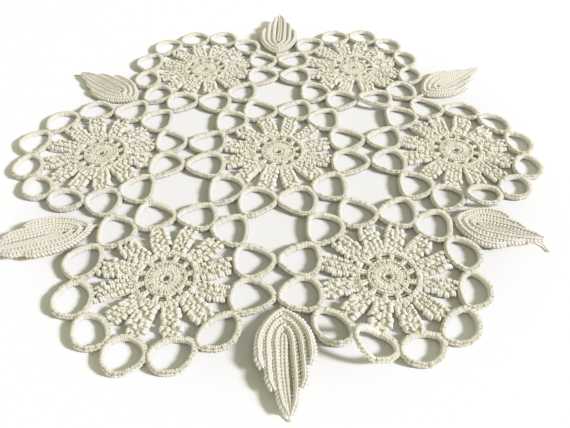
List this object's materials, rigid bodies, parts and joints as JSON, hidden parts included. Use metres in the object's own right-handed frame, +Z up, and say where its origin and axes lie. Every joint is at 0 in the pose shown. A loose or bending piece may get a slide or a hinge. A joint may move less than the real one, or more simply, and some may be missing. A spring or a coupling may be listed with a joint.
{
  "type": "crochet doily",
  "caption": "Hexagonal crochet table doily: raised flowers in wreaths of crocheted rings, joined edge to edge, with ribbed leaves round the outside.",
  "frame": {"origin": "centre of the middle flower, on the underside that lies on the table", "axes": "+Z up from the table; +X from the middle flower to the right flower; +Y to the back leaf"},
  "size_m": [0.3236, 0.3327, 0.0124],
  "materials": {
    "cotton": "matte ecru crochet cotton, tightly twisted, in single and double crochet"
  },
  "bodies": {
    "root": {"flower_middle": "cotton", "rings_middle": "cotton", "flower_right": "cotton", "rings_right": "cotton", "flower_back_right": "cotton", "rings_back_right": "cotton", "flower_back_left": "cotton", "rings_back_left": "cotton", "flower_left": "cotton", "rings_left": "cotton", "flower_front_left": "cotton", "rings_front_left": "cotton", "flower_front_right": "cotton", "rings_front_right": "cotton", "leaf_front": "cotton", "leaf_front_right": "cotton", "leaf_back_right": "cotton", "leaf_back": "cotton", "leaf_back_left": "cotton", "leaf_front_left": "cotton"}
  },
  "joints": []
}
